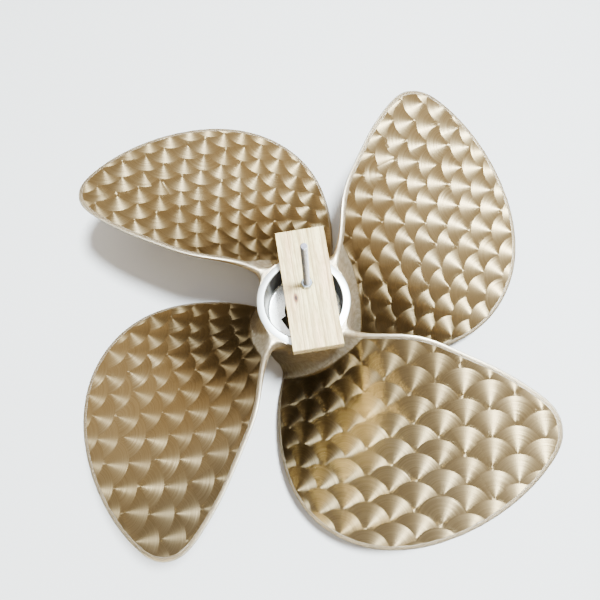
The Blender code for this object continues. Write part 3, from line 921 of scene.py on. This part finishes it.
rod = {
    "centre": (-0.0041, 0.0148),
    "radius": 0.0040,
    "bottom": 0.002,
    "top": 0.3293,
    "threadPitch": 0.00125,
    "threadDepth": 0.0006,
    "crestEnd": 0.14,  # shares of a pitch: the end of the crest,
    "rootStart": 0.5,  # and the start and end of the root
    "rootEnd": 0.64,
    "endEdge": 0.0008,
    "sides": 24,
    "sharpAngle": 40.0,
}
nut = {
    "acrossFlats": 0.0130,
    "height": 0.0066,
    "bottom": 0.1996,
    "holeRadius": 0.0043,
    "holeEdge": 0.0004,
    "chamferStart": 0.96,  # share of the way to the flats
    "chamferAngle": 28.0,
    "turn": 4.6,
    "sides": 96,
    "sharpAngle": 25.0,
}
zinc = {
    "nut": (0.40, 0.50, 0.62),
    "sawnEnd": (0.30, 0.29, 0.42),
    "bright": (0.82, 0.84, 0.87),
    "clouds": (60.0, 0.3, 0.7, 0.5),  # scale, from where to where, and the largest share of bright
    "spotScale": 260.0,
    "rough": (0.16, 0.12),
    "bumpStrength": 0.15,
    "bumpHeight": 0.0001,
    "toward": (0.82, 0.57),  # the rod's side with painted light; the other side has painted shade
    "paintedLightColor": (0.97, 0.98, 1.0),
    "paintedLightMetallic": 0.45,
    "paintedShadeColor": (0.20, 0.20, 0.23),
    "paintedShadeMetallic": 0.9,
    "paintedShadeRough": 0.42,
    "paintedShadeEdge": (0.0012, -0.0004),
    "paintedShadeUneven": 0.0012,
}


def zincSteel(name, tint=None):  # without a tint it is the rod's, with painted light on one side and painted shade on the other
    s = zinc
    material, n, shader = newMaterial(name)
    place = n.place()
    spots = n.noise(place, s["spotScale"], 4.0)
    rough = n.scaled(spots, *s["rough"])
    if tint:
        scale, low, high, most = s["clouds"]
        cloud = n.remap(n.noise(place, scale, 3.0), low, high, 0.0, most)
        color, metallic = n.mixColor(cloud, tint, s["bright"]), 1.0
    else:
        # painted light on the rod's side facing toward, painted shade on the other
        lean = n.along(n.split(place), s["toward"])
        paintedShade = n.remap(n.scaled(spots, s["paintedShadeUneven"], lean), *s["paintedShadeEdge"], smooth=True)
        color = n.mixColor(paintedShade, s["paintedLightColor"], s["paintedShadeColor"])
        metallic = n.mix(paintedShade, s["paintedLightMetallic"], s["paintedShadeMetallic"])
        rough = n.mix(paintedShade, rough, s["paintedShadeRough"])
    n.set(shader, {"Base Color": color, "Metallic": metallic, "Roughness": rough})
    n.bump(shader, spots, s["bumpStrength"], s["bumpHeight"])
    return material


def buildRod():  # one continuous thread, cut off and chamfered at both ends
    r = rod
    sides, pitch, length = r["sides"], r["threadPitch"], r["top"] - r["bottom"]
    crest, root = r["radius"], r["radius"] - r["threadDepth"]
    profile = ((0.0, crest), (r["crestEnd"], crest), (r["rootStart"], root), (r["rootEnd"], root))
    per = len(profile)
    rows = (int(length / pitch) + 3) * per
    endRadius = r["radius"] - r["endEdge"]
    verts, faces = [], []
    for k in range(rows):
        share, radius = profile[k % per]
        base = (k // per + share - 1.0) * pitch
        for i in range(sides):
            z = min(max(base + pitch * i / sides, 0.0), length)
            own = min(radius, endRadius + z, endRadius + length - z)
            angle = 2 * math.pi * i / sides
            verts.append((own * math.cos(angle), own * math.sin(angle), z))
    for k in range(rows - per - 1):
        a, b = k * sides, (k + 1) * sides
        for i in range(sides - 1):
            faces.append((a + i, a + i + 1, b + i + 1, b + i))
        faces.append((a + sides - 1, a + per * sides, b + per * sides, b + sides - 1))  # on to the next turn
    item = newObject("threaded_rod_fine", verts, faces, [zincSteel("zinc_rod")], r["sharpAngle"],
                     (*r["centre"], r["bottom"]))
    bm = bmesh.new()
    bm.from_mesh(item.data)
    bmesh.ops.remove_doubles(bm, verts=bm.verts[:], dist=0.00001)
    bmesh.ops.delete(bm, geom=[v for v in bm.verts if not v.link_faces], context="VERTS")
    bmesh.ops.holes_fill(bm, edges=[e for e in bm.edges if len(e.link_faces) == 1], sides=0)
    bm.to_mesh(item.data)
    bm.free()
    markSharp(item.data, r["sharpAngle"])
    item.data.materials.append(zincSteel("zinc_sawn_end", zinc["sawnEnd"]))
    for polygon in item.data.polygons:
        if abs(polygon.normal.z) > 0.99:
            polygon.material_index = 1
    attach(item, "clamp")
    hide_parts("threaded_rod")
    print("rod made")


def buildNut():
    t = nut
    angles = evenAngles(t["sides"])
    flat = t["acrossFlats"] / 2
    hexRadius = flat / np.cos((angles + np.pi / 6) % (np.pi / 3) - np.pi / 6)
    limit = flat * t["chamferStart"]
    fall = (hexRadius - limit) * math.tan(math.radians(t["chamferAngle"]))
    high, hole, edge = t["height"], t["holeRadius"], t["holeEdge"]
    outline = ((hole, edge), (hole + edge, 0.0), (limit, 0.0), (hexRadius, fall),
               (hexRadius, high - fall), (limit, high), (hole + edge, high), (hole, high - edge))
    rings = [circle(radius, z, angles) for radius, z in outline]
    item = newObject("hex_nut_fine", np.concatenate(rings), bandFaces(len(rings), t["sides"], closed=True),
                     [zincSteel("zinc_nut", zinc["nut"])], t["sharpAngle"], (*rod["centre"], t["bottom"]),
                     math.radians(t["turn"]))
    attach(item, "clamp")
    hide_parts("hex_nut")
    print("nut made")


studio = {
    "floorRadius": 14.0,
    "floorDrop": -0.0005,
    "floorSides": 96,
    "floorColors": ((0.72, 0.71, 0.70), (0.68, 0.67, 0.66)),
    "floorClouds": 2.0,
    "floorRough": 0.8,
    "backdropColor": (0.95, 0.94, 0.93),
    "backdropStrength": 1.0,
    "backdropLevels": (12, 1.5),  # rings, and the angle of the last one over the floor
    "lightsAim": (0, 0, 0.1),
    "key": {"place": (0.42, 0.48, 2.88), "width": 0.42, "power": 460.0, "color": (0.84, 0.94, 1.0)},
    "strip": {"place": (-0.729, -2.925, 1.00), "width": 0.16, "height": 1.5, "power": 18.0,
              "color": (1.0, 0.87, 0.46)},
    "skyStops": (  # from straight down at 0 to straight up at 1; the ramp's own two stops come first
        (0.30, (0.025, 0.020, 0.012)),
        (0.98, (1.000, 0.980, 0.940)),
        (0.50, (0.072, 0.054, 0.033)),
        (0.60, (0.205, 0.162, 0.106)),
        (0.72, (0.250, 0.212, 0.158)),
        (0.82, (0.250, 0.218, 0.170)),
        (0.93, (0.310, 0.282, 0.234)),
    ),
    "coolColor": (0.88, 0.97, 1.20),
    "coolFrom": (0.2, -0.8),  # the light turns cool towards -Y
    "worldStrength": 2.55,
    "leastStrength": 0.1,
    "brightToward": (0.34, 0.22),
    "paleWalls": (  # direction, from where to where, and how much brighter
        ((-0.951, 0.033, 0.309), (0.84, 0.98), 1.0),
        ((-0.28, 0.91, 0.31), (0.60, 0.95), 0.18),
    ),
    "cardToward": (-0.720, -0.694),  # a dark card beside the warm strip
    "cardSides": (0.91, 0.965),
    "cardTop": (0.58, 0.42),
    "cardShare": -0.60,
}


def areaLight(name, settings):
    light = bpy.data.lights.new(name, "AREA")
    light.shape = "RECTANGLE" if "height" in settings else "DISK"
    light.size = settings["width"]
    light.size_y = settings.get("height", settings["width"])
    light.energy = settings["power"]
    light.color = settings["color"]
    item = bpy.data.objects.new(name, light)
    bpy.context.scene.collection.objects.link(item)
    item.location = settings["place"]
    aim = Vector(studio["lightsAim"]) - Vector(settings["place"])
    item.rotation_euler = aim.to_track_quat("-Z", "Y").to_euler()


def buildStage():
    s = studio
    size, sides = s["floorRadius"], s["floorSides"]
    material, n, shader = newMaterial("floor")
    clouds = n.noise(n.place(), s["floorClouds"], 3.0)
    n.set(shader, {"Base Color": n.mixColor(clouds, *s["floorColors"]), "Roughness": s["floorRough"]})
    around = circle(size, 0.0, evenAngles(sides))
    floor = newObject("floor", around, [tuple(range(sides))], [material])
    floor.location.z = s["floorDrop"]
    floor.visible_glossy = False  # the bronze mirrors the studio's dark lower half instead

    # a pale dome round the floor, which only the camera sees
    material, n, shader = newMaterial("backdrop")
    n.set(shader, {"Base Color": (0, 0, 0), "Emission Color": s["backdropColor"],
                   "Emission Strength": s["backdropStrength"]})
    levels, top = s["backdropLevels"]
    rings = [around * math.cos(a) + np.array([0, 0, size * math.sin(a)]) for a in np.linspace(0, top, levels)]
    dome = newObject("backdrop", np.concatenate(rings), bandFaces(levels, sides), [material])
    dome.visible_diffuse = dome.visible_glossy = dome.visible_shadow = dome.visible_transmission = False
    areaLight("key_light", s["key"])
    areaLight("warm_light", s["strip"])
    print("floor and lights made")


def buildWorld():  # a soft sky, dark below, with two pale walls and a dark card
    s = studio
    world = bpy.data.worlds.new("studio")
    world.use_nodes = True
    n = Nodes(world.node_tree)
    background = world.node_tree.nodes["Background"]
    direction = n.split(n.add("ShaderNodeTexCoord").outputs["Generated"])
    ramp = n.add("ShaderNodeValToRGB", {0: n.scaled(direction[2], 0.5, 0.5)})
    stops = ramp.color_ramp.elements
    for i, (at, color) in enumerate(s["skyStops"]):
        stop = stops[i] if i < 2 else stops.new(at)
        stop.position, stop.color = at, (*color, 1)
    cool = n.remap(direction[1], *s["coolFrom"])
    n.feed(background.inputs[0], n.mixColor(cool, ramp.outputs[0], s["coolColor"], "MULTIPLY"))

    side = n.plus(n.along(direction, s["brightToward"]), 1.0)
    strength = n.times(n.math("MAXIMUM", side, s["leastStrength"]), s["worldStrength"])
    for toward, edge, share in s["paleWalls"]:
        wall = n.remap(n.along(direction, toward), *edge, smooth=True)
        strength = n.times(strength, n.scaled(wall, share, 1.0))
    level = n.math("SQRT", n.minus(1.0001, n.times(direction[2], direction[2])))
    card = n.remap(n.over(n.along(direction, s["cardToward"]), level), *s["cardSides"], smooth=True)
    card = n.times(card, n.remap(direction[2], *s["cardTop"], smooth=True))
    n.feed(background.inputs[1], n.times(strength, n.scaled(card, s["cardShare"], 1.0)))
    bpy.context.scene.world = world
    print("sky made")


camera = {
    "place": (0.1323, -0.1537, 0.8938),
    "right": (0.82246, 0.56767, -0.03618),
    "up": (-0.5387, 0.79775, 0.2709),
    "view": (-0.18265, 0.20331, -0.96193),
    "lens": 35.45,
    "sensor": 36.0,
    "nearest": 0.01,
}


def buildCamera():
    c = camera
    data = bpy.data.cameras.new("camera")
    data.lens = c["lens"]
    data.sensor_width = c["sensor"]
    data.clip_start = c["nearest"]
    item = bpy.data.objects.new("camera", data)
    bpy.context.scene.collection.objects.link(item)
    turn = Matrix((Vector(c["right"]), Vector(c["up"]), -Vector(c["view"]))).transposed()
    item.matrix_world = Matrix.Translation(c["place"]) @ turn.to_4x4()
    bpy.context.scene.camera = item
    print("camera made")


buildCamera()
buildStage()
buildWorld()
buildPropeller()
buildBar()
buildRod()
buildNut()
